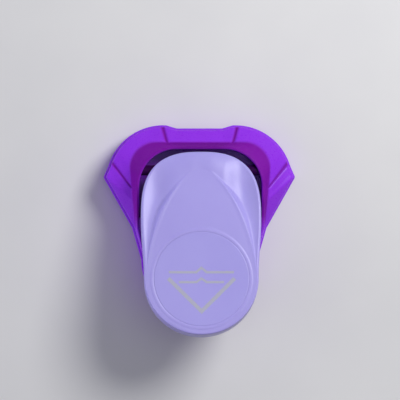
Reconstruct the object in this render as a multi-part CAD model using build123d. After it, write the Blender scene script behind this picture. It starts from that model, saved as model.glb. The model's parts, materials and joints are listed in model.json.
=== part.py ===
"""Lever-action corner punch for paper craft.

Row frame: +Z up, the table at Z = 0, the paper mouth facing -Y, the thumb end of the lever at +Y.
The lever and everything on it is drawn in its pressed position, level with the table, and is then
turned about the pivot pin into its raised rest position.  All sizes are in millimetres.
"""

import os
from math import asin, atan2, cos, degrees, radians, sin, sqrt, tan

from build123d import *

# ---- Overall size -------------------------------------------------------------------------------
LENGTH = 98.6  # wing bump to the thumb end of the raised lever
HALF_SPAN = 45.0  # centre line to a wing tip
FRONT_Y = -LENGTH / 2
REAR_Y = LENGTH / 2

# ---- Lever motion -------------------------------------------------------------------------------
LEVER_TRAVEL = 9.75  # degrees
PIVOT = Vector(0, -28, 30.3)
HEAD_Y = 5.0  # where the lever bears on the punch carrier
LEVER_ARM = HEAD_Y - PIVOT.Y
STROKE = 2 * LEVER_ARM * sin(radians(LEVER_TRAVEL / 2))

# ---- Paper plane and die set --------------------------------------------------------------------
DECK_Z = 11.0  # paper runs on this level
DIE_T = 3.0
GAP_T = 1.6
GUIDE_T = 2.5
FENCE_APEX_Y = 16.0  # where the two 45 degree paper fences would meet
CUT_LEG = 25.0  # nominal cutting size, measured along each edge of the paper
CUT_Y = FENCE_APEX_Y - CUT_LEG / sqrt(2)
PUNCH_OVERLAP = 0.8  # the cutter passes this far beyond the paper's edges
PUNCH_GAP = 0.08  # cutter to die and to guide plate
PEAK_HALF = 2.6  # the pointed middle of the cutting edge
PEAK_HEIGHT = 3.0
GUIDE_TOP_Z = DECK_Z + GAP_T + GUIDE_T

# ---- Base and housing ---------------------------------------------------------------------------
WALL = 2.0
SEAM_INSET = 1.0  # the housing stands this far inside the base all round
SKIRT_TOP_Z = 18.5
WING_TOP_Z = 24.0
WING_RUN = 9.5  # how far in from the front edge the wings reach their full height
FLANK_SLOPE = 45.0
RIM_Z = 34.0
ROOF_Z = 29.5
ROOF_T = 2.0
TOWER_WALL = 1.3
CAVITY_FLOOR_Z = 17.6
REAR_POST_Z = 22.0
MOUTH_TOP_Z = 16.6
SLOT_BACK_Y = -8.3
SHOULDER_CENTRE = (17.0, -22.5)
WING_TIP = (HALF_SPAN, -24.9)
WAIST = (31.5, -1.0)
TAIL_Y = 14.0
TAIL_R = 27.2

# ---- Shared fits --------------------------------------------------------------------------------
PIN_R = 2.0
PIN_HALF = 27.6
RUNNING = 0.06
POST_R = 2.0
POST_XY = (15.0, 9.0)
RIVET_SPOTS = [(20.5, 2.5), (8.0, 20.5)]
BASE_SCREW_SPOTS = [(28.8, -7.0), (10.0, 30.5)]
LEVER_SCREW_SPOTS = [(7.6, -12.0), (-7.6, -12.0), (0.0, 26.0)]

# ---- Lever --------------------------------------------------------------------------------------
LEVER_RIM_Z = 31.0
LEVER_SHOULDER_Z = 38.5
LEVER_PAD_Z = 41.0
LEVER_END_R = 26.4
LEVER_END_Y = 24.15
LEVER_CEILING_Z = 36.3
DISC_R = 22.0
DISC_Y = 24.6
DISC_T = 1.5
CORE_WEB_T = 2.4


def box(x0, x1, y0, y1, z0, z1):
    """A block between two opposite corners."""
    size = (x1 - x0, y1 - y0, z1 - z0)
    return Pos((x0 + x1) / 2, (y0 + y1) / 2, (z0 + z1) / 2) * Box(*size)


def rod(x, y, z0, z1, radius):
    """An upright cylinder."""
    return Pos(x, y, (z0 + z1) / 2) * Cylinder(radius, z1 - z0)


def cross_rod(y, z, x0, x1, radius):
    """A cylinder along X."""
    return Pos((x0 + x1) / 2, y, z) * Rot(0, 90, 0) * Cylinder(radius, x1 - x0)


def slab(plan, z0, z1, taper=0.0):
    """A plan extruded between two levels, narrowing upwards by the taper angle."""
    return Pos(0, 0, z0) * extrude(plan, amount=z1 - z0, taper=taper)


def mirrored_face(half):
    """A face from the right half of its outline, which starts and ends on the centre line."""
    edges = [edge for part in half for edge in part.edges()]
    mirrored = [mirror(edge, about=Plane.YZ) for edge in edges]
    return make_face(edges + mirrored)


def side_profile(points, half_width):
    """A prism across the part from an outline of (y, z) points."""
    face = make_face(Polyline([(0, y, z) for y, z in points], close=True))
    return extrude(face, amount=half_width, dir=(1, 0, 0), both=True)


def both_sides(spots):
    """The right-hand spots and their mirror images."""
    return [(side * x, y) for x, y in spots for side in (1, -1)]


def raised(shape):
    """Turns a piece drawn on the pressed lever into the rest position."""
    return shape.rotate(Axis(PIVOT, (1, 0, 0)), LEVER_TRAVEL)


# ---- Plans --------------------------------------------------------------------------------------
def front_edges():
    """Right half of the front edge: the shallow recess in the middle and one round shoulder."""
    shoulder = CenterArc(SHOULDER_CENTRE, SHOULDER_CENTRE[1] - FRONT_Y, -93, 76)
    recess = Line((0, FRONT_Y + 1.5), (10.7, FRONT_Y + 1.5))
    return [recess, Line(recess @ 1, shoulder @ 0), shoulder]


def body_plan(inset=0.0):
    """Outline of the base: a shallow front recess, two round-shouldered wings and a tapering tail."""
    front = front_edges()
    tail = CenterArc((0, TAIL_Y), TAIL_R, 0, 90)
    cheek = Line(front[-1] @ 1, WING_TIP)
    flank = Line(WING_TIP, WAIST)
    side = Line(WAIST, tail @ 0)
    plan = mirrored_face(front + [cheek, flank, side, tail])
    tips = plan.vertices().filter_by(lambda v: abs(abs(v.X) - HALF_SPAN) < 0.1)
    plan = fillet(tips, 1.5)
    if inset:
        plan = offset(plan, amount=-inset, kind=Kind.INTERSECTION)
    return plan


def wing_roof_plan(inset):
    """Outline whose front and shoulders follow the body, with the flanks left out."""
    front = front_edges()
    tip = Line(front[-1] @ 1, WING_TIP)
    side = Line(WING_TIP, (HALF_SPAN, 50))
    back = Line(side @ 1, (0, 50))
    plan = mirrored_face(front + [tip, side, back])
    return offset(plan, amount=-inset, kind=Kind.INTERSECTION)


def tower_outline(front_y, corner_r, corner_x, side_x):
    """A tower outline from the centre of its front to the centre of its tail."""
    corner = CenterArc((corner_x, front_y + corner_r), corner_r, -90, 90)
    tail = CenterArc((0, TAIL_Y), TAIL_R - 1.2, 0, 90)
    waist = (side_x, WAIST[1])
    front = Line((0, front_y), corner @ 0)
    return mirrored_face([front, corner, Line(corner @ 1, waist), Line(waist, tail @ 0), tail])


def tower_rim_plan(inset=0.0):
    """Outline of the rim of the tower that holds the lever."""
    plan = tower_outline(-39.0, 18.5, 11.2, 29.6)
    if inset:
        plan = offset(plan, amount=-inset, kind=Kind.INTERSECTION)
    return plan


def tower_foot_plan():
    """Outline of the squarer foot of the tower, where it meets the wings."""
    return tower_outline(-41.0, 12.0, 20.8, 29.9)


def paper_vee(apex_y, shift=0.0):
    """The right-angled space of the paper, open towards the mouth."""
    reach = 60.0
    apex = apex_y - shift * sqrt(2)
    points = [(0, apex), (reach, apex - reach), (reach, -90), (-reach, -90), (-reach, apex - reach)]
    return make_face(Polyline(points, close=True))


def cutter_plan(grow=0.0):
    """Cross-section of the cutter: the paper's corner, closed in front by the pointed cutting edge."""
    apex = FENCE_APEX_Y + PUNCH_OVERLAP * sqrt(2)
    corner_x = apex - CUT_Y
    peak = CUT_Y - PEAK_HEIGHT
    half = [(0, apex), (corner_x, CUT_Y), (PEAK_HALF, CUT_Y), (0, peak)]
    plan = mirrored_face([Polyline(half)])
    if grow:
        plan = offset(plan, amount=grow, kind=Kind.INTERSECTION)
    return plan


def plate_plan(grow=0.0):
    """Outline shared by the three plates of the die set."""
    points = [(24, -8), (24, 6), (13, 24), (-13, 24), (-24, 6), (-24, -8)]
    plan = make_face(Polyline(points, close=True))
    plan = fillet(plan.vertices(), 2.0)
    if grow:
        plan = offset(plan, amount=grow, kind=Kind.ARC)
    return plan


def lever_plan(inset=0.0):
    """Outline of the lever: a squarish front that swells slightly and ends in a half circle."""
    front_y = -35.5 + inset
    widest = (27.8 - inset, -4.0)
    corner = (21.3 - 0.74 * inset, -28.9 + 0.67 * inset)
    front = Line((0, front_y), (8, front_y))
    shoulder = Spline([front @ 1, corner, widest], tangents=[(1, 0), (0, 1)])
    end = CenterArc((0, LEVER_END_Y), LEVER_END_R - inset, 0, 90)
    side = Spline([widest, end @ 0], tangents=[(0, 1), (0, 1)])
    return mirrored_face([front, shoulder, side, end])


def pad_plan():
    """Outline of the raised, egg-shaped thumb surface."""
    end = CenterArc((0, LEVER_END_Y), LEVER_END_R - 0.8, 0, 90)
    points = [(0, -27.4), (9.1, -20.7), (14.3, -13.2), (18.4, -5.1), (22.3, 3.7), (24.7, 13.1), end @ 0]
    return mirrored_face([Spline(points, tangents=[(1, 0), (0, 1)]), end])


# ---- Fixed pieces -------------------------------------------------------------------------------
def base_tray():
    """Lower casing: deck, die pocket, waste chute, screw posts and stiffening ribs."""
    deck_under_z = DECK_Z - DIE_T - 2.4
    wing_under_z = DECK_Z - 2.4
    edge = 0.6
    tray = slab(body_plan(), edge, DECK_Z - edge)
    for outer_z, inner_z in ((DECK_Z - edge, DECK_Z), (edge, 0)):
        tray += loft([Pos(0, 0, outer_z) * body_plan(), Pos(0, 0, inner_z) * body_plan(edge)], ruled=True)
    hollow = slab(body_plan(2.2), 0, deck_under_z)
    wings = body_plan(2.2) - plate_plan(2.4)
    hollow += slab(wings, deck_under_z - 0.1, wing_under_z)
    tray -= hollow
    tray -= slab(plate_plan(0.15), DECK_Z - DIE_T, DECK_Z + 1)
    chute = cutter_plan(1.2)
    tray += slab(offset(chute, amount=1.6, kind=Kind.ARC), 0.6, deck_under_z)
    for x in (-20, 20):
        tray += box(x - 0.7, x + 0.7, -36, 24, 1.0, deck_under_z)
    for y in (-22, 27):
        tray += box(-22, 22, y - 0.7, y + 0.7, 1.0, deck_under_z)
    tray -= slab(chute, -1, DECK_Z)
    for x, y in both_sides(BASE_SCREW_SPOTS):
        tray += rod(x, y, 0.6, DECK_Z, 3.7)
    for x, y in both_sides(BASE_SCREW_SPOTS):
        tray -= rod(x, y, -1, DECK_Z + 1, 1.7)
        tray -= rod(x, y, -1, 4.0, 2.9)
    return tray


def tower_hollow():
    """Free space inside the tower: open above the lever's front, roofed over the punch."""
    roof_start_y = -6.0
    inside = tower_rim_plan(TOWER_WALL)
    front = inside & Pos(0, roof_start_y - 60) * Rectangle(120, 120)
    space = slab(inside, CAVITY_FLOOR_Z, ROOF_Z - ROOF_T)
    space += slab(front, CAVITY_FLOOR_Z, RIM_Z + 5)
    space += slab(plate_plan(0.3), DECK_Z - 1, CAVITY_FLOOR_Z + 1)
    rear = inside & Pos(0, 26 + 20) * Rectangle(60, 40)
    space += slab(rear, DECK_Z - 1, CAVITY_FLOOR_Z + 1)
    return space - screw_posts()


def screw_posts():
    """Posts for the base screws; the rear pair is braced to the tower's wall."""
    front, rear = BASE_SCREW_SPOTS
    posts = Part()
    for x, y in both_sides([front]):
        posts += rod(x, y, DECK_Z - 2, CAVITY_FLOOR_Z, 3.2)
    for x, y in both_sides([rear]):
        posts += rod(x, y, DECK_Z - 2, REAR_POST_Z, 3.2)
        posts += box(x - 0.8, x + 0.8, y, y + 9, DECK_Z - 2, REAR_POST_Z)
        posts += box(*sorted((x, 2.4 * x)), y - 0.8, y + 0.8, DECK_Z - 2, REAR_POST_Z)
    return posts


def wings():
    """Solid wings: a gentle slope up from the front edge, cut by a steeper flank on each side."""
    roof = [Pos(0, 0, SKIRT_TOP_Z) * wing_roof_plan(SEAM_INSET)]
    roof.append(Pos(0, 0, WING_TOP_Z) * wing_roof_plan(SEAM_INSET + WING_RUN))
    block = slab(wing_roof_plan(SEAM_INSET), DECK_Z, SKIRT_TOP_Z) + loft(roof, ruled=True)
    block &= slab(body_plan(SEAM_INSET), DECK_Z, WING_TOP_Z)
    heading = degrees(atan2(WAIST[1] - WING_TIP[1], WAIST[0] - WING_TIP[0]))
    for side in (1, -1):
        corner = Pos(side * WING_TIP[0], WING_TIP[1], SKIRT_TOP_Z)
        turn = Rot(0, 0, heading if side > 0 else 180 - heading)
        tilt = Rot(side * FLANK_SLOPE, 0, 0)
        block -= corner * turn * tilt * Pos(0, 0, 30) * Box(140, 80, 60)
    return block


def upper_housing():
    """Upper casing: the wings, the tower and the slot for the paper below them."""
    housing = wings()
    tower = loft([Pos(0, 0, WING_TOP_Z) * tower_foot_plan(), Pos(0, 0, RIM_Z) * tower_rim_plan()], ruled=True)
    housing += tower + slab(tower_foot_plan(), SKIRT_TOP_Z, WING_TOP_Z)
    housing += slab(body_plan(SEAM_INSET) & tower_foot_plan(), DECK_Z, SKIRT_TOP_Z + 0.1)
    housing -= tower_hollow()
    housing -= side_profile([(-16, RIM_Z), (-6, ROOF_Z), (60, ROOF_Z), (60, 60), (-16, 60)], 60)
    rise = [(SLOT_BACK_Y, DECK_Z + GAP_T + 0.2), (FRONT_Y, MOUTH_TOP_Z), (-60, MOUTH_TOP_Z + 1)]
    slot = side_profile(rise + [(-60, DECK_Z - 1), (20, DECK_Z - 1), (20, DECK_Z + GAP_T + 0.2)], 60)
    housing -= slot & slab(paper_vee(FENCE_APEX_Y), DECK_Z - 1, MOUTH_TOP_Z + 2)
    housing -= rod(0, HEAD_Y, ROOF_Z - ROOF_T - 1, ROOF_Z + 1, 7.5)
    for side in (1, -1):
        inner, outer = sorted((side * 25.2, side * 27.6))
        housing += cross_rod(PIVOT.Y, PIVOT.Z, inner, outer, 3.6)
    housing -= cross_rod(PIVOT.Y, PIVOT.Z, -PIN_HALF - 0.2, PIN_HALF + 0.2, PIN_R)
    for x, y in both_sides(BASE_SCREW_SPOTS):
        top = CAVITY_FLOOR_Z if y < 0 else REAR_POST_Z
        housing -= rod(x, y, DECK_Z - 1, top - 1.2, 1.2)
    return housing


def die_plate():
    """Lower steel plate, whose opening shears against the cutter."""
    plate = slab(plate_plan(), DECK_Z - DIE_T, DECK_Z)
    plate -= slab(cutter_plan(PUNCH_GAP), 0, 20)
    return plate - plate_holes(0, 20)


def corner_fence():
    """Spacer plate between die and guide, notched at 45 degrees to stop the paper's edges."""
    top = DECK_Z + GAP_T
    plate = slab(plate_plan(), DECK_Z, top)
    plate -= slab(paper_vee(FENCE_APEX_Y), DECK_Z - 1, top + 1)
    plate -= slab(cutter_plan(0.5), DECK_Z - 1, top + 1)
    return plate - plate_holes(DECK_Z - 1, top + 1)


def guide_plate():
    """Upper steel plate that guides the cutter and strips the paper off it."""
    low = DECK_Z + GAP_T
    plate = slab(plate_plan(), low, GUIDE_TOP_Z)
    plate -= slab(cutter_plan(PUNCH_GAP), low - 1, GUIDE_TOP_Z + 1)
    return plate - plate_holes(low - 1, GUIDE_TOP_Z + 1)


def plate_holes(z0, z1):
    """Rivet and guide-post holes through the die set."""
    holes = Part()
    for x, y in both_sides(RIVET_SPOTS):
        holes += rod(x, y, z0, z1, 1.5)
    for x, y in both_sides([POST_XY]):
        holes += rod(x, y, z0, z1, POST_R)
    return holes


def die_rivets():
    """Four rivets that hold the die set together."""
    rivets = Part()
    for x, y in both_sides(RIVET_SPOTS):
        head = rod(x, y, GUIDE_TOP_Z, GUIDE_TOP_Z + 1.1, 2.6)
        head = fillet(head.edges().sort_by(Axis.Z)[-1], 0.8)
        rivets += head + rod(x, y, DECK_Z - DIE_T, GUIDE_TOP_Z, 1.5)
    return rivets


def guide_post(side):
    """Steel post, fixed in the die set, on which the carrier slides."""
    x, y = side * POST_XY[0], POST_XY[1]
    post = rod(x, y, DECK_Z - DIE_T, ROOF_Z - ROOF_T - 0.4, POST_R)
    return chamfer(post.edges().sort_by(Axis.Z)[-1], 0.4)


def pivot_pin():
    """Steel pin across the tower, held in a blind hole on each side, on which the lever turns."""
    pin = cross_rod(PIVOT.Y, PIVOT.Z, -PIN_HALF, PIN_HALF, PIN_R)
    return chamfer(pin.edges().filter_by(GeomType.CIRCLE), 0.3)


def base_screws():
    """Four self-tapping screws from below, which hold the base to the housing."""
    screws = Part()
    for x, y in both_sides(BASE_SCREW_SPOTS):
        tip_z = CAVITY_FLOOR_Z - 1.4 if y < 0 else 19.0
        head = rod(x, y, 2.2, 4.0, 2.7)
        head = fillet(head.edges().sort_by(Axis.Z)[0], 0.8)
        head -= cross_recess(x, y, 2.2)
        screws += head + rod(x, y, 4.0, tip_z, 1.2)
    return screws


def cross_recess(x, y, z, up=1.0):
    """A cross-head driver recess that starts at a level and goes up or down."""
    low, high = sorted((z - 0.1 * up, z + 1.0 * up))
    bar = box(x - 1.5, x + 1.5, y - 0.3, y + 0.3, low, high)
    return bar + box(x - 0.3, x + 0.3, y - 1.5, y + 1.5, low, high)


# ---- Punch --------------------------------------------------------------------------------------
PUNCH_LOW_Z = DECK_Z + GAP_T + 0.4
CARRIER_LOW_Z = 23.5
CARRIER_TOP_Z = ROOF_Z - ROOF_T - 0.1
HEAD_TOP_Z = 30.8
WEAR_T = 1.0
HEAD_R = 6.9


def punch_cutter():
    """Hardened cutter with a slightly hollow-ground lower face."""
    cutter = slab(cutter_plan(), PUNCH_LOW_Z, CARRIER_LOW_Z)
    scoop_r = 60.0
    cutter -= cross_rod(HEAD_Y, PUNCH_LOW_Z - scoop_r + 0.8, -30, 30, scoop_r)
    for x in (-7, 7):
        cutter -= rod(x, 2.5, CARRIER_LOW_Z - 6, CARRIER_LOW_Z + 1, 1.1)
    return cutter


def punch_carrier():
    """Plate with two guide ears that carries the cutter, and the head that the lever presses."""
    plan = make_face(Polyline([(19.4, -3), (19.4, 13.5), (-19.4, 13.5), (-19.4, -3)], close=True))
    plan = fillet(plan.vertices(), 3.5)
    carrier = slab(plan, CARRIER_LOW_Z, CARRIER_TOP_Z)
    carrier += rod(0, HEAD_Y, CARRIER_TOP_Z, HEAD_TOP_Z - WEAR_T + 0.4, HEAD_R)
    carrier -= rod(0, HEAD_Y, HEAD_TOP_Z - WEAR_T - 0.2, HEAD_TOP_Z, HEAD_R - 1.4)
    for x, y in both_sides([POST_XY]):
        carrier -= rod(x, y, CARRIER_LOW_Z - 1, CARRIER_TOP_Z + 1, POST_R + RUNNING)
    for x in (-7, 7):
        carrier -= rod(x, 2.5, CARRIER_LOW_Z - 1, HEAD_TOP_Z, 1.1)
        carrier -= rod(x, 2.5, CARRIER_TOP_Z - 1.3, HEAD_TOP_Z, 2.2)
    return carrier


def wear_plate():
    """Round steel button let into the head, on which the presser pin slides."""
    plate = rod(0, HEAD_Y, HEAD_TOP_Z - WEAR_T - 0.2, HEAD_TOP_Z, HEAD_R - 1.45)
    return chamfer(plate.edges().sort_by(Axis.Z)[-1], 0.2)


def punch_screws():
    """Two screws that hold the cutter to its carrier."""
    screws = Part()
    for x in (-7, 7):
        head = rod(x, 2.5, CARRIER_TOP_Z - 1.3, CARRIER_TOP_Z - 0.1, 2.1)
        head -= cross_recess(x, 2.5, CARRIER_TOP_Z - 0.1, -0.8)
        screws += head + rod(x, 2.5, CARRIER_LOW_Z - 5, CARRIER_TOP_Z - 1.3, 1.1)
    return screws


def return_spring(side):
    """Compression spring round a guide post, between the guide plate and the carrier."""
    wire_r = 0.32
    coil_r = 2.8
    low = GUIDE_TOP_Z + wire_r + 0.02
    height = CARRIER_LOW_Z - GUIDE_TOP_Z - 2 * (wire_r + 0.02)
    helix = Helix(pitch=height / 3.5, height=height, radius=coil_r)
    section = Plane(origin=helix @ 0, z_dir=helix % 0) * Circle(wire_r)
    coil = sweep(section, path=helix)
    return Pos(side * POST_XY[0], POST_XY[1], low) * coil


# ---- Lever pieces, drawn in the pressed position ------------------------------------------------
def lever_shell():
    """Outer shell of the lever, with the raised thumb pad and a seat for the thumb disc."""
    shell = slab(lever_plan(), LEVER_RIM_Z - 5, LEVER_SHOULDER_Z)
    shell = fillet(shell.faces().sort_by(Axis.Z)[-1].edges(), 2.6)
    pad = slab(pad_plan(), LEVER_SHOULDER_Z - 2.6, LEVER_PAD_Z)
    pad = fillet(pad.faces().sort_by(Axis.Z)[-1].edges(), 1.2)
    shell += pad
    shell -= slab(lever_plan(WALL), 0, LEVER_CEILING_Z)
    low_z = LEVER_RIM_Z - 5
    under = [(-18, low_z - 1), (-18, low_z), (-8, LEVER_RIM_Z), (70, LEVER_RIM_Z), (70, low_z - 1)]
    shell -= side_profile(under, 60)
    shell -= rod(0, DISC_Y, LEVER_PAD_Z - DISC_T, LEVER_PAD_Z + 1, DISC_R + 0.15)
    shell -= cross_rod(PIVOT.Y, PIVOT.Z, -40, 40, PIN_R + 0.3)
    for x, y in LEVER_SCREW_SPOTS:
        shell -= rod(x, y, 20, LEVER_CEILING_Z + 1.8, 1.1)
    return shell


def lever_core():
    """Inner frame: pivot eyes, side webs and the fork that holds the presser pin."""
    web_low = LEVER_CEILING_Z - CORE_WEB_T
    eye_r = 3.5
    core = box(-13, 13, -30, 29, web_low, LEVER_CEILING_Z)
    for side in (1, -1):
        inner, outer = sorted((side * 10.4, side * 13))
        core += box(inner, outer, -30, 26, LEVER_RIM_Z + 0.4, LEVER_CEILING_Z)
        core += cross_rod(PIVOT.Y, PIVOT.Z, *sorted((side * 10.4, side * 14.5)), eye_r)
        core += box(inner, outer, PIVOT.Y - 2.0, PIVOT.Y + eye_r, PIVOT.Z, LEVER_CEILING_Z)
    pin_z = presser_z()
    core += box(-5.6, 5.6, HEAD_Y - 3.2, HEAD_Y + 3.2, pin_z - 1.3, web_low)
    core -= box(-3.2, 3.2, HEAD_Y - 4, HEAD_Y + 4, pin_z - 3, pin_z + 2.4)
    core -= cross_rod(HEAD_Y, pin_z, -8, 8, PIN_R)
    core -= cross_rod(PIVOT.Y, PIVOT.Z, -30, 30, PIN_R + RUNNING)
    for x, y in LEVER_SCREW_SPOTS:
        core -= rod(x, y, 20, LEVER_CEILING_Z + 1, 1.2)
    return core


def presser_z():
    """Height of the presser pin on the pressed lever, a little clear of the wear plate."""
    return HEAD_TOP_Z - STROKE + PIN_R + 0.15


def presser_pin():
    """Steel dowel in the lever's fork, which bears on the wear plate."""
    return cross_rod(HEAD_Y, presser_z(), -5.6, 5.6, PIN_R)


def lever_screws():
    """Three screws from below that hold the core inside the lever shell."""
    screws = Part()
    low = LEVER_CEILING_Z - CORE_WEB_T
    for x, y in LEVER_SCREW_SPOTS:
        head = rod(x, y, low - 1.5, low - 0.02, 2.3)
        head = fillet(head.edges().sort_by(Axis.Z)[0], 0.6)
        head -= cross_recess(x, y, low - 1.5)
        screws += head + rod(x, y, low - 0.3, LEVER_CEILING_Z + 1.7, 1.1)
    return screws


def thumb_disc():
    """Round insert under the thumb, slightly dished, with a chamfered edge."""
    low = LEVER_PAD_Z - DISC_T
    dish_r = 420.0
    disc = rod(0, DISC_Y, low, LEVER_PAD_Z, DISC_R)
    disc = chamfer(disc.edges().sort_by(Axis.Z)[-1], 0.4)
    return disc - Pos(0, DISC_Y, LEVER_PAD_Z - 0.5 + dish_r) * Sphere(dish_r)


FIXED = {
    "base_tray": base_tray,
    "upper_housing": upper_housing,
    "die_plate": die_plate,
    "corner_fence": corner_fence,
    "guide_plate": guide_plate,
    "die_rivets": die_rivets,
    "guide_post_left": lambda: guide_post(-1),
    "guide_post_right": lambda: guide_post(1),
    "pivot_pin": pivot_pin,
    "base_screws": base_screws,
    "punch_cutter": punch_cutter,
    "punch_carrier": punch_carrier,
    "wear_plate": wear_plate,
    "punch_screws": punch_screws,
    "return_spring_left": lambda: return_spring(-1),
    "return_spring_right": lambda: return_spring(1),
}
ON_LEVER = {
    "lever_shell": lever_shell,
    "lever_core": lever_core,
    "presser_pin": presser_pin,
    "lever_screws": lever_screws,
    "thumb_disc": thumb_disc,
}


def main():
    """Writes one STEP file for each node."""
    os.makedirs("parts", exist_ok=True)
    for name, make in FIXED.items():
        export_step(make(), f"parts/{name}.step")
    for name, make in ON_LEVER.items():
        export_step(raised(make()), f"parts/{name}.step")
    print("stroke", round(STROKE, 3), "mm")


main()
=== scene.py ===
"""Looks of a lever-action corner punch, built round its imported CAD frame.

Outlines and heights below are in millimetres in the row frame and become metres when a mesh is made.
The lever is shaped in its pressed position, level with the table, and then turned to its rest position.
"""

import json
from math import cos, hypot, pi, radians, sin, tan

import bmesh
import bpy
import numpy as np
from mathutils import Matrix, Vector


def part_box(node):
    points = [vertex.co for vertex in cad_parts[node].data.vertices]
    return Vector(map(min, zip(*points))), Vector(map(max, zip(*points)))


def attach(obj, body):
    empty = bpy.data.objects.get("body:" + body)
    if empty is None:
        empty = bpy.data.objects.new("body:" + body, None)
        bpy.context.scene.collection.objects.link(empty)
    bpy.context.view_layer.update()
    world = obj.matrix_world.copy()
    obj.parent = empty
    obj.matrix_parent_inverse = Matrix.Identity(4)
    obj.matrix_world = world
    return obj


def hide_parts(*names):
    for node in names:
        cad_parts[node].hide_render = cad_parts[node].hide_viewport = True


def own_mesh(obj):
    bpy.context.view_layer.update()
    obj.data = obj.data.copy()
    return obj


MM = 0.001
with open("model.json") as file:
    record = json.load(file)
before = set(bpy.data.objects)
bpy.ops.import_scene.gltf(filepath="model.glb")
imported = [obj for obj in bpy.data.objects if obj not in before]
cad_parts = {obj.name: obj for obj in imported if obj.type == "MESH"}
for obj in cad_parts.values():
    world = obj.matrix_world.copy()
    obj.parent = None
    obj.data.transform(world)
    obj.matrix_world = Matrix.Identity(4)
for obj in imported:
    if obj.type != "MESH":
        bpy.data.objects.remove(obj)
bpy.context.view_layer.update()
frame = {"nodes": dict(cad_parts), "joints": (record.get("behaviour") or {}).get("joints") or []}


def node_box(node):
    """Lowest and highest corner of a CAD node, in millimetres."""
    low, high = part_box(node)
    return np.array(low) / MM, np.array(high) / MM


# ---- Driving sizes, from the frame ----------------------------------------------------------------
BASE_LOW, BASE_HIGH = node_box("base_tray")
RIM_Z = node_box("upper_housing")[1][2]
hinge = next(j for j in frame["joints"] if j["name"] == "lever_hinge")
PIVOT = np.array(hinge["pos_m"]) / MM
TRAVEL = radians(hinge["range_deg"][1])

# ---- Casing ---------------------------------------------------------------------------------------
DECK_Z = BASE_HIGH[2]
FRONT_Y = BASE_LOW[1]
RECESS = 1.5
SEAM_INSET = 1.0
SHOULDER = (17.0, -22.5)
SHOULDER_R = SHOULDER[1] - FRONT_Y
TIP = (45.0, -24.9)
WAIST = (31.5, -1.0)
TAIL_Y = 14.0
TAIL_R = BASE_HIGH[1] - TAIL_Y
SKIRT_TOP = 18.5
WING_TOP = 24.0
FRONT_SLOPE = 5.5 / 9.5
FLANK_SLOPE = 1.0
ROOF_Z = 29.5
ROOF_T = 2.0
ROOF_FRONT_Y = -6.0
HEAD_HOLE_R = 7.5
WALL = 1.2
CAVITY_FLOOR = 17.6
FENCE_APEX = 16.0
SLOT_BACK_Y = -8.3
SLOT_BACK_Z = DECK_Z + 1.8
SLOT_RISE = (16.6 - SLOT_BACK_Z) / (SLOT_BACK_Y - FRONT_Y)
HEAD_Y = 5.0
FOLD_FOOT = (-21.5, -18.3)
HIP_FOOT = -14.6
FLOOR_HALF = 28.9

# ---- Lever, pressed -------------------------------------------------------------------------------
LEVER_FRONT_Y = -35.5
LEVER_WIDE = (27.8, -4.0)
LEVER_END_Y, LEVER_END_R = 24.15, 26.4
FRONT_POWER = 2.8
PAD_FRONT_Y, PAD_R, PAD_POWER = -27.4, 25.6, 1.6
PAD_Z = 40.97
LEVER_LOW, LEVER_LOW_FRONT = 31.0, 26.0
LEVER_WALL = 2.0
LEVER_CEILING = 36.3
DISC_Y, DISC_R, SEAT_R = 24.6, 21.97, 21.99
DISC_THICK, SEAT_DEEP = 1.5, 1.6
DISH = 0.5
PRINT_LIFT = 0.03
CROWN_DROP, CROWN_RUN, CROWN_POWER = 1.7, 30, 1.6
STEP_SLOPE, SCOOP_SLOPE, BRIM_SLOPE, FRONT_DROOP = 52, 21, 12, 22
STEP_NARROW, STEP_WIDE = 1.7, 3.6
SCOOP_LIP, SCOOP_END = 0.12, 0.58
CREST, CREST_WIDE = 0.16, 0.8
EDGE_R = 1.1
BEAD_R, BEAD_HIGH = 22.9, 0.15


# ---- Outlines -------------------------------------------------------------------------------------
def evenly(points, steps):
    """A run of points resampled to even steps."""
    p = np.array(points, float)
    along = np.r_[0, np.cumsum(np.linalg.norm(np.diff(p, axis=0), axis=1))]
    s = np.linspace(0, along[-1], steps + 1)
    return np.stack([np.interp(s, along, p[:, 0]), np.interp(s, along, p[:, 1])], 1)


def arc(centre, radius, start, end, count=160):
    """Points on an arc between two angles in degrees."""
    a = np.radians(np.linspace(start, end, count))
    return np.stack([centre[0] + radius * np.cos(a), centre[1] + radius * np.sin(a)], 1)


def laid(runs, steps):
    """Runs end to end, each in its own number of steps, so that outlines with the same steps match."""
    parts = [evenly(run, n)[:-1] for run, n in zip(runs, steps)]
    return np.vstack([*parts, np.array(runs[-1], float)[-1:]])


def whole(half):
    """A closed outline from its right half, which runs from the front centre to the rear centre."""
    return np.vstack([half, half[-2:0:-1] * (-1, 1)])


def moved_in(outline, distance):
    """A closed outline moved inwards, with mitred corners."""
    ahead = np.roll(outline, -1, 0) - outline
    ahead /= np.maximum(np.linalg.norm(ahead, axis=1, keepdims=True), 1e-9)
    normal = np.stack([-ahead[:, 1], ahead[:, 0]], 1)
    both = normal + np.roll(normal, 1, 0)
    scale = 2 / np.maximum((both**2).sum(1), 0.8)
    return outline + both * scale[:, None] * distance


def reach(centre, angles, outline):
    """Distance from a centre to an outline along each angle."""
    d = outline - np.array(centre)
    a = np.arctan2(d[:, 1], d[:, 0])
    order = np.argsort(a)
    return np.interp(angles, a[order], np.hypot(d[:, 0], d[:, 1])[order], period=2 * pi)


def ease(x, low=0.0, high=1.0):
    """Smooth step from 0 at low to 1 at high."""
    t = np.clip((np.asarray(x, float) - low) / (high - low), 0, 1)
    return t * t * (3 - 2 * t)


def least(first, second):
    """The smaller of two values, with a smooth change from one to the other."""
    return first * second / (first**4 + second**4) ** 0.25


def at_height(outline, z):
    """Outline points with their heights."""
    return np.column_stack([outline, np.broadcast_to(z, len(outline))])


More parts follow.
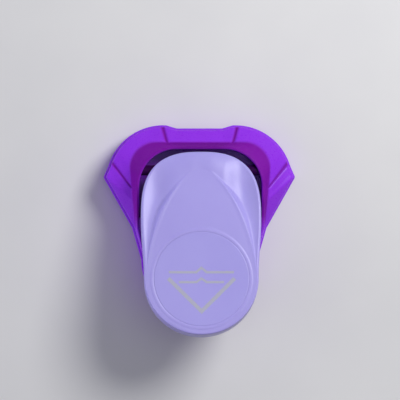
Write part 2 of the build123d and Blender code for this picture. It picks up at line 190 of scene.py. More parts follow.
def around(centre_y, radius, angle, z):
    """Points round a centre on the middle line, with their heights."""
    x, y = radius * np.cos(angle), centre_y + radius * np.sin(angle)
    return np.column_stack([x, y, np.broadcast_to(z, len(angle))])


# ---- Meshes ---------------------------------------------------------------------------------------
class Skin:
    """Collects grids of points and makes one mesh of them, with an amount of painted shade at each point."""

    def __init__(self):
        self.points, self.faces, self.painted_shades = [], [], []

    def grid(self, rows, ring=True, loop=False, depth=0.0):
        """Quads between rows, whose depth is the amount of painted shade at their points. A ring joins each row's
        ends, and a loop joins the last row to the first.
        """
        rows = [np.array(r, float) for r in rows]
        start, wide = len(self.points), len(rows[0])
        self.points += [tuple(p) for r in rows for p in r]
        self.painted_shades += np.broadcast_to(depth, (len(rows), wide)).ravel().tolist()
        across = range(wide if ring else wide - 1)
        for i in range(len(rows) if loop else len(rows) - 1):
            low, high = start + i * wide, start + (i + 1) % len(rows) * wide
            for j in across:
                k = (j + 1) % wide
                self.faces.append((low + j, low + k, high + k, high + j))

    def fan(self, row, tip):
        """Triangles from a closed row to one point."""
        start, wide = len(self.points), len(row)
        self.points += [*map(tuple, row), tuple(tip)]
        self.painted_shades += [0.0] * (wide + 1)
        self.faces += [(start + j, start + (j + 1) % wide, start + wide) for j in range(wide)]

    def piece(self, name, material, body, crease=38, turn=False):
        """The mesh object, riding on a body."""
        mesh = bpy.data.meshes.new(name)
        points = np.array(self.points)
        if turn:
            points = raised(points)
        mesh.from_pydata((points * MM).tolist(), [], self.faces)
        # The painted shade amounts are stored as the mesh's depth attribute.
        mesh.attributes.new("depth", "FLOAT", "POINT").data.foreach_set("value", self.painted_shades)
        weld(mesh)
        mesh.shade_smooth()
        mesh.set_sharp_from_angle(angle=radians(crease))
        mesh.materials.append(material)
        obj = bpy.data.objects.new(name, mesh)
        bpy.context.scene.collection.objects.link(obj)
        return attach(obj, body)


def weld(mesh):
    """Joins points that coincide and turns every face outwards."""
    bm = bmesh.new()
    bm.from_mesh(mesh)
    bmesh.ops.remove_doubles(bm, verts=bm.verts, dist=2e-6)
    bmesh.ops.recalc_face_normals(bm, faces=bm.faces)
    bm.to_mesh(mesh)
    bm.free()


def raised(points):
    """Pressed lever points turned about the pivot into the rest position."""
    c, s = cos(TRAVEL), sin(TRAVEL)
    y, z = points[:, 1] - PIVOT[1], points[:, 2] - PIVOT[2]
    return np.column_stack([points[:, 0], PIVOT[1] + y * c - z * s, PIVOT[2] + y * s + z * c])


def rounded(corners, radii, steps=6):
    """Rows of points through rows of corners, with each inner corner rounded to its radius."""
    rows = [corners[0]]
    for before, here, after, radius in zip(corners, corners[1:], corners[2:], radii):
        back, ahead = before - here, after - here
        long_back = np.linalg.norm(back, axis=1, keepdims=True) + 1e-9
        long_ahead = np.linalg.norm(ahead, axis=1, keepdims=True) + 1e-9
        cut = np.minimum(radius, 0.45 * np.minimum(long_back, long_ahead))
        start, end = here + back / long_back * cut, here + ahead / long_ahead * cut
        for t in np.linspace(0, 1, steps):
            rows.append((1 - t) ** 2 * start + 2 * t * (1 - t) * here + t * t * end)
    return [*rows, corners[-1]]


# ---- Upper housing --------------------------------------------------------------------------------
STEPS = {
    "front": 14,
    "ramp": 10,
    "crease": 20,
    "shoulder": 58,
    "fold": 16,
    "cheek": 3,
    "fence": 1,
    "corner": 4,
    "tip": 8,
    "flank": 34,
    "side": 18,
    "tail": 52,
}
CREASE_RUN, FOLD_RUN = 4.0, 3.4
CREASE_MIDDLE, FOLD_MIDDLE = 1.9, 1.7
GROOVE_DEEP, GROOVE_WIDE = 0.7, 0.9
# Amounts of painted shade in the grooves, extra at the front centre, on the well floor, on the roof and on the pin
# sleeves.
GROOVE_SHADE, CENTRE_SHADE, FLOOR_SHADE, ROOF_SHADE, SLEEVE_SHADE = 0.9, 1.25, 0.3, 0.25, 2
PANEL_DEEP = 0.25
TAIL_LEAN = 1.2


def column_of(run):
    """Number of the outline column where a run starts."""
    names = list(STEPS)
    return sum(STEPS[name] for name in names[: names.index(run)])


def casing_half():
    """Right half of the casing's outline, with a tiny run where the paper fence meets the edge."""
    turn, fold = np.degrees(CREASE_RUN / SHOULDER_R), np.degrees(FOLD_RUN / SHOULDER_R)
    crease = arc(SHOULDER, SHOULDER_R, -93, turn - 93)
    shoulder = arc(SHOULDER, SHOULDER_R, turn - 93, -17 - fold)
    bend = arc(SHOULDER, SHOULDER_R, -17 - fold, -17)
    cheek_start = bend[-1]
    share = (FENCE_APEX - cheek_start.sum()) / (sum(TIP) - cheek_start.sum())
    fence = cheek_start + (np.array(TIP) - cheek_start) * share
    cheek = (np.array(TIP) - cheek_start) / hypot(*(np.array(TIP) - cheek_start))
    flank = (np.array(WAIST) - TIP) / hypot(*(np.array(WAIST) - TIP))
    before, after = TIP - cheek * 1.2, TIP + flank * 1.2
    t = np.linspace(0, 1, 12)[:, None]
    tip = (1 - t) ** 2 * before + 2 * t * (1 - t) * np.array(TIP) + t * t * after
    recess_end = (10.7, FRONT_Y + RECESS)
    runs = [
        [(0, FRONT_Y + RECESS), recess_end],
        [recess_end, crease[0]],
        crease,
        shoulder,
        bend,
        [cheek_start, fence],
        [fence, fence + cheek * 0.03],
        [fence + cheek * 0.03, before],
        tip,
        [after, WAIST],
        [WAIST, (TAIL_R, TAIL_Y)],
        arc((0, TAIL_Y), TAIL_R, 0, 90),
    ]
    return laid(runs, STEPS.values())


def tower_half(front_y, ends, corner, radius, waist_x, tail_r):
    """Right half of a tower outline whose columns match the casing's."""
    bend = arc((corner, front_y + radius), radius, -90, 0)
    waist = np.array((waist_x, WAIST[1]))
    path = evenly(np.vstack([[(ends[2], front_y)], bend, waist]), 800)

    def part(from_y, to_y):
        inside = (path[:, 1] >= from_y) & (path[:, 1] <= to_y)
        return path[inside]

    runs = [
        [(0, front_y), (ends[0], front_y)],
        [(ends[0], front_y), (ends[1], front_y)],
        [(ends[1], front_y), (ends[2], front_y)],
        part(front_y - 1, FOLD_FOOT[0]),
        part(*FOLD_FOOT),
        part(FOLD_FOOT[1], HIP_FOOT - 0.9),
        part(HIP_FOOT - 0.9, HIP_FOOT - 0.7),
        part(HIP_FOOT - 0.7, HIP_FOOT - 0.4),
        part(HIP_FOOT - 0.4, HIP_FOOT + 0.5),
        part(HIP_FOOT + 0.5, WAIST[1]),
        [waist, (tail_r, TAIL_Y)],
        arc((0, TAIL_Y), tail_r, 0, 90),
    ]
    return laid(runs, STEPS.values())


def nearest(points, line):
    """Distance from each point to a line of points."""
    return np.linalg.norm(points[:, None] - evenly(line, 600)[None], axis=2).min(1)


def slot_ceiling(y):
    """Height of the paper slot's sloping ceiling."""
    return SLOT_BACK_Z + SLOT_RISE * (SLOT_BACK_Y - y)


def groove(along, middle):
    """Share of a soft groove's depth, along the outline."""
    return np.exp(-(((along - middle) / GROOVE_WIDE) ** 2))


def wing_height(foot, edge):
    """Height of the wings at the tower's foot, climbing from the casing's edge to a level top."""
    front = edge[: column_of("tip")]
    flank = edge[column_of("tip") + STEPS["tip"] // 2 : column_of("side")]
    mirrored = np.abs(foot * (1, 0)) + foot * (0, 1)
    climb = np.minimum(FRONT_SLOPE * nearest(mirrored, front), FLANK_SLOPE * nearest(mirrored, flank))
    return SKIRT_TOP + np.minimum(climb, WING_TOP - SKIRT_TOP)


def wall_shade(rows, foot, foot_z, fluted):
    """Painted shade: full on the tower's front and over its rim, less down its inner wall and at the back, with
    some in the grooves.
    """
    ahead = 1 - ease(foot[:, 1], -8, 3)
    tones = []
    for row in rows:
        shaded_groove = fluted * (row[:, 2] > SKIRT_TOP - 1)
        tones.append(np.maximum(ahead * ease(row[:, 2] - foot_z, -0.9, 1.3), GROOVE_SHADE * shaded_groove))
    tones = np.array(tones)
    over_rim, down_inside = np.ones(7), np.linspace(0.9, 0.4, 6)
    tones[-13:] = np.r_[over_rim, down_inside][:, None] * ahead
    return tones * (1 + (CENTRE_SHADE - 1) * (1 - ease(np.abs(foot[:, 0]), 12, 22)) * ahead)


def housing_shell(skin):
    """Outer surface: skirt, wings, tower wall, rim and the tower's inner wall."""
    edge = moved_in(whole(casing_half()), SEAM_INSET)
    foot = tower_half(
        front_y=-41.0, ends=(9.8, 13.8, 17.4), corner=20.8, radius=12.0, waist_x=29.9, tail_r=TAIL_R - TAIL_LEAN
    )
    rim = tower_half(
        front_y=-39.0, ends=(6.0, 8.6, 10.9), corner=11.2, radius=18.5, waist_x=29.6, tail_r=TAIL_R - TAIL_LEAN
    )
    foot, rim = whole(foot), whole(rim)
    foot_z = wing_height(foot, edge)
    rim_z = ROOF_Z + (RIM_Z - ROOF_Z) * (1 - ease(rim[:, 1], -17, -5))
    column = np.minimum(np.arange(len(edge)), len(edge) - np.arange(len(edge)))
    crease = (column - column_of("crease")) / STEPS["crease"] * CREASE_RUN
    fold = (column - column_of("fold")) / STEPS["fold"] * FOLD_RUN
    fluted = groove(crease, CREASE_MIDDLE) + groove(fold, FOLD_MIDDLE)
    sunk = PANEL_DEEP * (1 - ease(crease, 0.4, 2.4)) + GROOVE_DEEP * fluted
    in_mouth = column <= column_of("fence")
    low_z = np.where(in_mouth, slot_ceiling(edge[:, 1]), DECK_Z)
    inner = moved_in(rim, WALL)
    corners = [
        at_height(edge, low_z),
        at_height(edge, SKIRT_TOP - sunk),
        at_height(foot, foot_z - sunk),
        at_height(rim, rim_z),
        at_height(inner, rim_z),
        at_height(inner, CAVITY_FLOOR),
    ]
    rows = rounded(corners, [1.5, 1.6, 0.6, 0.6])
    rows.insert(1, rows[0] + (rows[1] - rows[0]) * 0.02)
    # The tower wall, the rim and the grooves carry painted shade.
    skin.grid(rows, depth=wall_shade(rows, foot, foot_z, fluted))
    mouth = edge[in_mouth & (edge[:, 0] >= -1e-6)]
    return inner, np.vstack([mouth[::-1] * (-1, 1), mouth[1:]])


def paper_slot(skin, mouth):
    """Ceiling of the paper slot and the two fences at 45 degrees."""
    back_y = np.minimum(SLOT_BACK_Y, FENCE_APEX - np.abs(mouth[:, 0]))
    rows = []
    for share in np.linspace(0, 1, 5):
        y = mouth[:, 1] * (1 - share) + back_y * share
        rows.append(np.column_stack([mouth[:, 0], y, slot_ceiling(y)]))
    skin.grid(rows, ring=False)
    foot = np.column_stack([mouth[:, 0], back_y, np.full(len(mouth), DECK_Z)])
    outside = np.abs(mouth[:, 0]) >= FENCE_APEX - SLOT_BACK_Y
    for side in (1, -1):
        keep = outside & (mouth[:, 0] * side > 0)
        skin.grid([rows[-1][keep], foot[keep]], ring=False)


def tower_roof(skin, inner):
    """The roof over the punch, with the round hole for its head, and its front edge."""
    top, low = ROOF_Z, ROOF_Z - ROOF_T
    behind = inner[inner[:, 1] > ROOF_FRONT_Y]
    right = inner[inner[:, 0] > 15]
    corner_x = np.interp(ROOF_FRONT_Y, right[:, 1], right[:, 0])
    edge_x = np.linspace(-corner_x, corner_x, 80)
    boundary = np.vstack([behind, at_height(edge_x[:, None], ROOF_FRONT_Y)])
    angle = np.linspace(-pi, pi, 257)[:-1]
    near, far = np.full(len(angle), HEAD_HOLE_R), reach((0, HEAD_Y), angle, boundary)
    at_front = (HEAD_Y + far * np.sin(angle)) < ROOF_FRONT_Y + 0.05
    bevel = np.where(at_front, 0.5, 0.0)
    profile = [
        (near, low),
        (near, top - 0.5),
        (near + 0.12, top - 0.18),
        (near + 0.5, top),
        (far - 1.0, top),
        (far - bevel, top),
        (far - bevel * 0.25, top - bevel * 0.35),
        (far, top - bevel),
        (far, low),
    ]
    # The roof under the lever gets a little painted shade.
    skin.grid([around(HEAD_Y, radius, angle, z) for radius, z in profile], loop=True, depth=ROOF_SHADE)


def tower_floor(skin, inner):
    """Floor of the lever well, down to the die set behind it."""
    x = np.linspace(-FLOOR_HALF, FLOOR_HALF, 90)
    front = inner[inner[:, 1] < -15]
    front = front[np.argsort(front[:, 0])]
    front_y = np.interp(x, front[:, 0], front[:, 1])
    back = SLOT_BACK_Y + 2.2 * ease(np.abs(x), 21, 22)
    profile = [(front_y, CAVITY_FLOOR), (back - 0.4, CAVITY_FLOOR), (back, CAVITY_FLOOR - 0.4), (back, SLOT_BACK_Z)]
    # The well floor gets painted shade.
    skin.grid([np.column_stack([x, y, np.full(len(x), z)]) for y, z in profile], ring=False, depth=FLOOR_SHADE)


def pin_sleeves(skin):
    """Sleeves from the tower's wall over the pivot pin, cut to follow the lever's side."""
    angle = np.linspace(0, 2 * pi, 65)[:-1]
    side_line = lever_half()
    side_line = side_line[side_line[:, 1] < -10]
    rows = []
    for radius, gap in ((2.05, 2.0), (2.05, 0.8), (2.12, 0.6), (2.3, 0.6), (2.4, 0.8)):
        y = PIVOT[1] + radius * np.cos(angle)
        x = np.interp(y, side_line[:, 1], side_line[:, 0]) + gap
        rows.append(np.column_stack([x, y, PIVOT[2] + radius * np.sin(angle)]))
    rows.append(rows[-1] * (0, 1, 1) + (LEVER_WIDE[0], 0, 0))
    # Painted shade: the sleeves are coloured near-black purple.
    skin.grid(rows, depth=SLEEVE_SHADE)
    skin.grid([r * (-1, 1, 1) for r in rows], depth=SLEEVE_SHADE)


def upper_housing(material):
    """The casing's upper moulding, with the paper slot below it and the lever well in it."""
    skin = Skin()
    inner, mouth = housing_shell(skin)
    paper_slot(skin, mouth)
    tower_roof(skin, inner)
    tower_floor(skin, inner)
    pin_sleeves(skin)
    shell = skin.piece("housing_skin", material, "casing", crease=32)
    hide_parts("upper_housing")
    return shell


# ---- Lever ----------------------------------------------------------------------------------------
def lever_half():
    """Right half of the lever's outline: a squarish front, swelling sides and a half-round end."""
    a = np.linspace(pi / 2, 0, 300)
    wide_x, wide_y = LEVER_WIDE
    front_x = wide_x * np.cos(a) ** (2 / FRONT_POWER)
    front_y = wide_y - (wide_y - LEVER_FRONT_Y) * np.sin(a) ** (2 / FRONT_POWER)
    front = np.column_stack([front_x, front_y])
    y = np.linspace(wide_y, LEVER_END_Y, 60)
    x = wide_x - (wide_x - LEVER_END_R) * ease(y, wide_y, LEVER_END_Y)
    return np.vstack([front, np.column_stack([x, y])[1:], arc((0, LEVER_END_Y), LEVER_END_R, 0, 90)[1:]])


def pad_half():
    """Right half of the raised pad's outline, egg-shaped with its narrow end in front."""
    t = np.linspace(1, 0, 300) ** 2
    x = PAD_R * (1 - t**PAD_POWER) ** (1 / PAD_POWER)
    y = LEVER_END_Y - (LEVER_END_Y - PAD_FRONT_Y) * t
    return np.vstack([np.column_stack([x, y]), arc((0, LEVER_END_Y), PAD_R, 0, 90)[1:]])


def fall(share, lip, end):
    """Drop of a unit slope that comes in over a lip and dies away towards an end."""
    out = np.clip(share - lip, 0, end - lip)
    return np.minimum(share, lip) ** 2 / (2 * lip) + out - out**2 / (2 * (end - lip))


def pad_height(radius):
    """Height of the pad's gentle crown at a distance from the disc's centre."""
    return PAD_Z - BEAD_HIGH - CROWN_DROP * (np.clip(radius - SEAT_R, 0, None) / CROWN_RUN) ** CROWN_POWER


def lever_surface():
    """Rows of the lever's outer surface, from the disc's seat out to the edge and down its side."""
    outline = whole(evenly(lever_half(), 230))
    d = outline - (0, DISC_Y)
    angle, far = np.arctan2(d[:, 1], d[:, 0]), np.hypot(d[:, 0], d[:, 1])
    pad = np.minimum(reach((0, DISC_Y), angle, whole(pad_half())), far - 0.9)
    ahead = np.roll(outline, -1, 0) - np.roll(outline, 1, 0)
    lean = np.abs(ahead[:, 1] * np.cos(angle) - ahead[:, 0] * np.sin(angle)) / np.linalg.norm(ahead, axis=1)
    across = np.abs(pad * np.cos(angle))
    near, side = ease(across, 3, 14), ease(across, 9, 18)
    width = (far - pad) * lean
    edge_r = least(EDGE_R, 0.75 * width)
    brim = side * tan(radians(BRIM_SLOPE)) - (1 - side) * tan(radians(FRONT_DROOP))
    turned = -np.arctan(brim)
    land = edge_r * (1 - np.sin(turned))
    run = width - land

    def row(radius, z):
        return around(DISC_Y, radius, angle, z)

    seat = np.full(len(far), SEAT_R)
    rows = [row(seat, PAD_Z - SEAT_DEEP), row(seat, PAD_Z - BEAD_HIGH - 0.02), row(seat + 0.03, PAD_Z - BEAD_HIGH)]
    for radius in np.linspace(SEAT_R + 0.2, 2 * BEAD_R - SEAT_R, 10):
        bead = BEAD_HIGH * (1 - ((radius - BEAD_R) / (BEAD_R - SEAT_R)) ** 2)
        rows.append(row(seat - SEAT_R + radius, pad_height(radius) + bead))
    start = 2 * BEAD_R - SEAT_R
    crest = near * least(CREST, 0.04 * width)
    for share in 1 - np.linspace(1, 0, 40)[1:] ** 2:
        radius = start + (pad - start) * share
        from_edge = (pad - radius) * lean
        rows.append(row(radius, pad_height(radius) + crest * np.exp(-((from_edge / CREST_WIDE) ** 2))))
    edge_z = pad_height(pad) + crest
    step_wide = STEP_NARROW + (STEP_WIDE - STEP_NARROW) * ease(across, 9, 17)
    step_end = least(step_wide / run, 0.36)
    for share in np.linspace(0, 1, 80)[1:]:
        step = near * tan(radians(STEP_SLOPE)) * fall(share, step_end * 0.35, step_end)
        scoop = side * tan(radians(SCOOP_SLOPE)) * fall(share, SCOOP_LIP, SCOOP_END)
        out = max(share - SCOOP_END, 0)
        rise = side * tan(radians(BRIM_SLOPE)) * out**2 / (2 * (1 - SCOOP_END))
        droop = (1 - side) * tan(radians(FRONT_DROOP)) * share**3 / 3
        radius = pad + (far - land / lean - pad) * share
        rows.append(row(radius, edge_z + run * (rise - step - scoop - droop)))
    rim_z = rows[-1][:, 2]
    for share in np.linspace(0, 1, 14)[1:]:
        a = turned + (pi / 2 - turned) * share
        rows.append(row(far - edge_r * (1 - np.sin(a)) / lean, rim_z + edge_r * (np.cos(a) - np.cos(turned))))
    return rows, outline, rows[-1][:, 2]


def lever_shell(material):
    """The lever's moulded shell, outside and in."""
    rows, outline, shoulder = lever_surface()
    low_z = LEVER_LOW_FRONT + (LEVER_LOW - LEVER_LOW_FRONT) * ease(outline[:, 1], -18.5, -7.5)
    inner = moved_in(outline, LEVER_WALL)
    skirt = rounded(
        [
            at_height(outline, shoulder),
            at_height(outline, low_z),
            at_height(inner, low_z),
            at_height(inner, LEVER_CEILING),
            at_height(inner * 0.5 + (0, 4), LEVER_CEILING),
        ],
        [0.5, 0.5, 1.5],
    )
    skin = Skin()
    skin.grid([*rows, *skirt[1:]])
    skin.fan(skirt[-1], (0, 8, LEVER_CEILING))
    shell = skin.piece("lever_shell_skin", material, "lever", turn=True)
    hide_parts("lever_shell")
    return shell


def dish_height(radius):
    """Height of the dished thumb disc at a distance from its centre."""
    return PAD_Z - BEAD_HIGH - DISH + np.asarray(radius) ** 2 * DISH / DISC_R**2


def thumb_disc(material):
    """The dished disc under the thumb."""
    angle = np.linspace(0, 2 * pi, 257)[:-1]
    under = PAD_Z - DISC_THICK
    profile = [(r, dish_height(r)) for r in np.linspace(0.6, DISC_R - 0.03, 44)]
    profile += [(DISC_R, dish_height(DISC_R) - 0.02), (DISC_R, under)]
    rows = [around(DISC_Y, radius, angle, z) for radius, z in profile]
    skin = Skin()
    skin.grid(rows)
    skin.fan(rows[0], (0, DISC_Y, dish_height(0)))
    skin.fan(rows[-1], (0, DISC_Y, under))
    disc = skin.piece("thumb_disc_skin", material, "lever", turn=True)
    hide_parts("thumb_disc")
    return disc


def evenly_between(corners, count=40):
    """Corners of a line joined by the same number of steps each."""
    t = np.linspace(0, 1, count, endpoint=False)[:, None]
    return np.vstack([*(a + (b - a) * t for a, b in zip(corners, corners[1:])), corners[-1:]])


def ribbon(skin, points, width):
    """A flat printed line with mitred corners that lies on the dished disc."""
    line = np.array(points, float)
    ahead = np.diff(line, axis=0)
    ahead /= np.linalg.norm(ahead, axis=1, keepdims=True)
    normal = np.column_stack([-ahead[:, 1], ahead[:, 0]])
    both = np.vstack([2 * normal[:1], normal[:-1] + normal[1:], 2 * normal[-1:]])
    mitre = 2 * both / np.maximum((both**2).sum(1, keepdims=True), 1)
    rows = []
    for share in np.linspace(-0.5, 0.5, 5):
        p = evenly_between(line + mitre * width * share)
        rows.append(at_height(p, dish_height(np.hypot(p[:, 0], p[:, 1] - DISC_Y)) + PRINT_LIFT))
    skin.grid(rows, ring=False)


def cut_icon(material):
    """Printed sign for the shape of the cut: a corner below two pointed lines."""
    skin = Skin()
    apex_y, arm = 39.7, 15.3
    ribbon(skin, [(-arm, apex_y - arm), (0, apex_y), (arm, apex_y - arm)], 1.8)
    for y, half, peak in ((21.5, 15.0, 2.1), (26.1, 10.4, 1.7)):
        ribbon(skin, [(-half, y), (-2.4, y), (0, y - peak), (2.4, y), (half, y)], 1.1)
    return skin.piece("cut_sign_print", material, "lever", turn=True)


# ---- Springs --------------------------------------------------------------------------------------
def coil_spring(node, material):
    """Open coils round a guide post, in one shape that doesn't close up as the punch comes down."""
    wire, turns = 0.32, 3.5
    low, high = node_box(node)
    middle = (low + high) / 2
    coil_r = (high[0] - low[0]) / 2 - wire
    section = np.linspace(0, 2 * pi, 13)[:-1]
    rows = []
    for share in np.linspace(0, 1, 220):
        a = 2 * pi * turns * share
        radius = coil_r + wire * np.cos(section)
        z = low[2] + wire + (high[2] - low[2] - 2 * wire) * share + wire * np.sin(section)
        rows.append(np.column_stack([middle[0] + radius * cos(a), middle[1] + radius * sin(a), z]))
    skin = Skin()
    skin.grid(rows)
    skin.fan(rows[0], rows[0].mean(0))
    skin.fan(rows[-1], rows[-1].mean(0))
    spring = skin.piece(node + "_coil", material, "casing")
    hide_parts(node)
    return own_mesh(spring)


# ---- Materials ------------------------------------------------------------------------------------
def srgb(*values):
    """Linear colour from sRGB values of 0 to 255."""
    out = [v / 255 for v in values]
    return [*((v / 12.92 if v <= 0.04045 else ((v + 0.055) / 1.055) ** 2.4) for v in out), 1.0]


INK, INK_WORN = srgb(168, 168, 178), srgb(161, 157, 200)
# Painted shade colours: the housing is mixed towards these on its steep walls, in the grooves, on the well floor
# and on the pin sleeves.
SHADED_PURPLE, SHADOWED_PURPLE = srgb(118, 22, 152), srgb(46, 8, 62)


class Nodes:
    """A material with a Principled shader and a short way to add nodes to it."""

    def __init__(self, name, **settings):
        self.material = bpy.data.materials.new(name)
        self.material.use_nodes = True
        self.tree = self.material.node_tree
        self.shader = self.tree.nodes["Principled BSDF"]
        for key, value in settings.items():
            self.shader.inputs[key.replace("_", " ")].default_value = value
        self.place = self.add("ShaderNodeTexCoord").outputs["Object"]

    def add(self, kind, **inputs):
        """A node with its inputs set or linked."""
        node = self.tree.nodes.new(kind)
        for key, value in inputs.items():
            self.feed(node.inputs[key.replace("_", " ")], value)
        return node

    def feed(self, socket, value):
        """Links an output to a socket, or sets its value."""
        if isinstance(value, bpy.types.NodeSocket):
            self.tree.links.new(value, socket)
        else:
            socket.default_value = value

    def stretched(self, sizes):
        """Object coordinates divided by a size in millimetres along each axis."""
        mapping = self.add("ShaderNodeMapping", Vector=self.place)
        mapping.inputs["Scale"].default_value = [1 / (s * MM) for s in sizes]
        return mapping.outputs["Vector"]

    def noise(self, size, detail=3.0, rough=0.5):
        """Noise with a grain of that size in millimetres, or one size along each axis."""
        sizes = (size, size, size) if isinstance(size, (int, float)) else size
        place = self.stretched(sizes)
        node = self.add("ShaderNodeTexNoise", Vector=place, Scale=1.0, Detail=detail, Roughness=rough)
        return node.outputs["Fac"]

    def spread(self, value, low, high, start=0.3, end=0.7):
        """A noise value mapped to a range."""
        ends = {"From_Min": start, "From_Max": end, "To_Min": low, "To_Max": high}
        return self.add("ShaderNodeMapRange", Value=value, **ends).outputs["Result"]

    def times(self, first, second):
        """Two values multiplied."""
        node = self.add("ShaderNodeMath")
        node.operation = "MULTIPLY"
        self.feed(node.inputs[0], first)
        self.feed(node.inputs[1], second)
        return node.outputs[0]

    def mixed(self, share, first, second):
        """A colour between two colours."""
        node = self.add("ShaderNodeMix")
        node.data_type = "RGBA"
        self.feed(node.inputs["Factor"], share)
        colours = [s for s in node.inputs if s.type == "RGBA"]
        self.feed(colours[0], first)
        self.feed(colours[1], second)
        return next(s for s in node.outputs if s.type == "RGBA")

    def bump(self, height, depth, strength=1.0, onto=None):
        """A bump of that depth in millimetres, on top of another if there is one."""
        inputs = {"Height": height, "Distance": depth * MM, "Strength": strength}
        if onto is not None:
            inputs["Normal"] = onto
        return self.add("ShaderNodeBump", **inputs).outputs["Normal"]


def moulded_plastic(name, tones, roughness, grain, glow, gloss=0.5, shade_colour=None):
    """Injection-moulded plastic: slight colour drift, a fine moulded grain and soft unevenness.

    The glow is the share of light that passes below the surface and how far it goes, in millimetres.
    """
    light, dark = tones
    m = Nodes(name, Subsurface_Weight=glow[0], Subsurface_Scale=glow[1] * MM, IOR=1.5, Specular_IOR_Level=gloss)
    m.shader.inputs["Subsurface Radius"].default_value = (1.0, 0.7, 1.0)
    drift = m.noise(22, detail=2)
    speck = m.noise(0.7, detail=3)
    colour = m.mixed(m.spread(drift, 0, 0.6), light, dark)
    colour = m.mixed(m.spread(speck, 0, 0.2, 0.3, 0.7), colour, dark)
    # Painted shade: the mesh's depth attribute mixes the colour towards the shade colour, and above 1 on towards
    # the near-black shadow purple, and it lowers the gloss there.
    if shade_colour:
        attribute = m.add("ShaderNodeAttribute")
        attribute.attribute_name = "depth"
        depth = attribute.outputs["Fac"]
        colour = m.mixed(m.spread(depth, 0, 1, 0, 1), colour, shade_colour)
        colour = m.mixed(m.spread(depth, 0, 1, 1, 2), colour, SHADOWED_PURPLE)
        facing = m.add("ShaderNodeLayerWeight", Blend=0.5).outputs["Facing"]
        shine = m.times(m.spread(facing, gloss, 0.03, 0.1, 0.6), m.spread(depth, 1, 0.15, 0, 1))
        m.feed(m.shader.inputs["Specular IOR Level"], shine)
    m.feed(m.shader.inputs["Base Color"], colour)
    m.feed(m.shader.inputs["Roughness"], m.spread(speck, roughness - 0.03, roughness + 0.04, 0.2, 0.8))
    normal = m.bump(m.noise(0.35, detail=2), grain)
    normal = m.bump(m.noise(9, detail=1), 0.02, 0.5, normal)
    m.feed(m.shader.inputs["Normal"], normal)
    return m.material


def steel(name, tone, roughness, lay, marks=0.02):
    """Bright steel with fine lines along its lay: grinding, drawing or blanking marks."""
    m = Nodes(name, Metallic=1.0)
    lines = m.noise(lay, detail=4, rough=0.65)
    cloud = m.noise(6, detail=3)
    bright, dull = [tone, tone, tone * 1.02, 1], [tone * 0.8, tone * 0.8, tone * 0.8, 1]
    stained = [tone * 0.72, tone * 0.7, tone * 0.66, 1]
    colour = m.mixed(m.spread(lines, 0, 1), bright, dull)
    colour = m.mixed(m.spread(cloud, 0, 0.25), colour, stained)
    m.feed(m.shader.inputs["Base Color"], colour)
    m.feed(m.shader.inputs["Roughness"], m.spread(lines, roughness - 0.07, roughness + 0.1))
    m.feed(m.shader.inputs["Normal"], m.bump(lines, marks))
    return m.material


def printed_ink(name):
    """Pale gold ink, a little worn and uneven."""
    m = Nodes(name, IOR=1.45)
    worn = m.noise(0.6, detail=4, rough=0.65)
    m.feed(m.shader.inputs["Base Color"], m.mixed(m.spread(worn, 0, 1, 0.4, 0.75), INK, INK_WORN))
    m.feed(m.shader.inputs["Roughness"], m.spread(worn, 0.35, 0.6))
    m.feed(m.shader.inputs["Normal"], m.bump(worn, 0.01))
    return m.material


PURPLE = moulded_plastic(
    "purple_plastic",
    (srgb(146, 52, 224), srgb(134, 42, 210)),
    roughness=0.28,
    grain=0.006,
    glow=(0.3, 1.5),
    gloss=0.3,
    shade_colour=SHADED_PURPLE,
)
LAVENDER = moulded_plastic(
    "lavender_plastic",
    (srgb(166, 157, 222), srgb(158, 148, 216)),
    roughness=0.32,
    grain=0.008,
    glow=(0.1, 1.0),
    gloss=0.26,
)
DISC_PLASTIC = moulded_plastic(
    "disc_plastic",
    (srgb(162, 154, 221), srgb(155, 146, 216)),
    roughness=0.40,
    grain=0.012,
    glow=(0.1, 1.0),
    gloss=0.38,
)
WHITE_PLASTIC = moulded_plastic(
    "acetal", (srgb(228, 228, 224), srgb(218, 218, 214)), roughness=0.45, grain=0.012, glow=(0.3, 2.0)
)
PALE_PLASTIC = moulded_plastic(
    "core_plastic", (srgb(216, 214, 226), srgb(204, 202, 216)), roughness=0.5, grain=0.014, glow=(0.2, 2.0)
)
GROUND = steel("ground_steel", 0.60, 0.26, (14, 0.12, 0.12))
BLANKED = steel("blanked_steel", 0.56, 0.36, (0.8, 0.8, 0.3))
DRAWN = steel("drawn_steel", 0.68, 0.2, (8, 0.15, 0.15))
UPRIGHT = steel("post_steel", 0.68, 0.2, (0.15, 0.15, 6))
WIRE = steel("spring_wire", 0.5, 0.3, (0.4, 0.4, 0.2))
ZINC = steel("zinc_plate", 0.62, 0.32, (0.7, 0.7, 0.7), 0.01)

CARRIED_OVER = {
    PURPLE: ["base_tray"],
    GROUND: ["die_plate", "punch_cutter"],
    BLANKED: ["corner_fence", "guide_plate", "wear_plate"],
    DRAWN: ["pivot_pin", "presser_pin"],
    UPRIGHT: ["guide_post_left", "guide_post_right", "die_rivets"],
    ZINC: ["base_screws", "punch_screws", "lever_screws"],
    WHITE_PLASTIC: ["punch_carrier"],
    PALE_PLASTIC: ["lever_core"],
}

# ---- The object -----------------------------------------------------------------------------------
for material, names in CARRIED_OVER.items():
    for name in names:
        frame["nodes"][name].material_slots[0].material = material

upper_housing(PURPLE)
lever_shell(LAVENDER)
thumb_disc(DISC_PLASTIC)
cut_icon(printed_ink("gold_ink"))
coil_spring("return_spring_left", WIRE)
coil_spring("return_spring_right", WIRE)


# ---- Camera, floor and light ----------------------------------------------------------------------
def aim(obj, place, target, up):
    """Puts an object at a place, looking at a target."""
    back = (Vector(place) - Vector(target)).normalized()
    right = Vector(up).cross(back).normalized()
    turn = Matrix((right, back.cross(right), back)).transposed()
    obj.matrix_world = Matrix.Translation(place) @ turn.to_4x4()


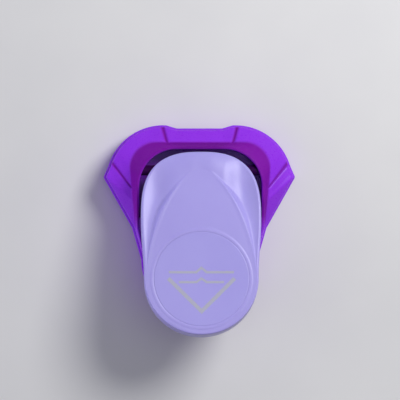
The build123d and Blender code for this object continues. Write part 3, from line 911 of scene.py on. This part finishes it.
def area_light(name, place, size, power, colour=(1, 1, 1), mirrored=True):
    """An oval soft light over the object, which shows in glossy surfaces if it is mirrored."""
    data = bpy.data.lights.new(name, "AREA")
    data.shape = "ELLIPSE"
    data.size, data.size_y = size
    data.energy = power
    data.color = colour
    obj = bpy.data.objects.new(name, data)
    bpy.context.scene.collection.objects.link(obj)
    obj.visible_glossy = mirrored
    aim(obj, place, LIT_POINT, (0, 0.1, 1))


scene = bpy.context.scene
camera = bpy.data.objects.new("camera", bpy.data.cameras.new("camera"))
scene.collection.objects.link(camera)
scene.camera = camera
VIEW_WIDTH = 0.186  # width seen across the picture at the view's centre
VIEW_CENTRE = Vector((0.0002, -0.0142, 0.030))
DISTANCE = 2.0
LEAN = radians(1.45)
SENSOR = 36
camera.data.sensor_width = SENSOR
camera.data.lens = SENSOR * DISTANCE / VIEW_WIDTH
camera.data.clip_end = 10
aim(camera, VIEW_CENTRE + Vector((sin(LEAN), 0, cos(LEAN))) * DISTANCE, VIEW_CENTRE, (0, -1, 0))

bpy.ops.mesh.primitive_plane_add(size=6, location=(0, 0, 0))
floor = bpy.context.object
floor.name = "floor"
pale = Nodes("pale_floor", Roughness=0.6)
pale.feed(
    pale.shader.inputs["Base Color"],
    pale.mixed(pale.spread(pale.noise(60), 0, 1), srgb(214, 213, 212), srgb(209, 208, 208)),
)
floor.data.materials.append(pale.material)

world = bpy.data.worlds.new("studio")
scene.world = world
world.use_nodes = True
surroundings = world.node_tree.nodes["Background"].inputs
surroundings["Color"].default_value = (0.85, 0.88, 1.0, 1)
surroundings["Strength"].default_value = 0.25
LIT_POINT = Vector((0, 0, 0.03))
area_light("key", Vector((-0.38, -0.36, 0.63)), (0.36, 0.36), 5.4)
area_light("overhead", Vector((-0.06, -0.02, 0.90)), (0.5, 0.5), 0.8, (0.95, 0.96, 1.0))
area_light("left_strip", Vector((0.65, 0.0, 0.07)), (0.5, 0.06), 2.2, (0.85, 0.85, 1.0), mirrored=False)
scene.view_settings.view_transform = "Standard"
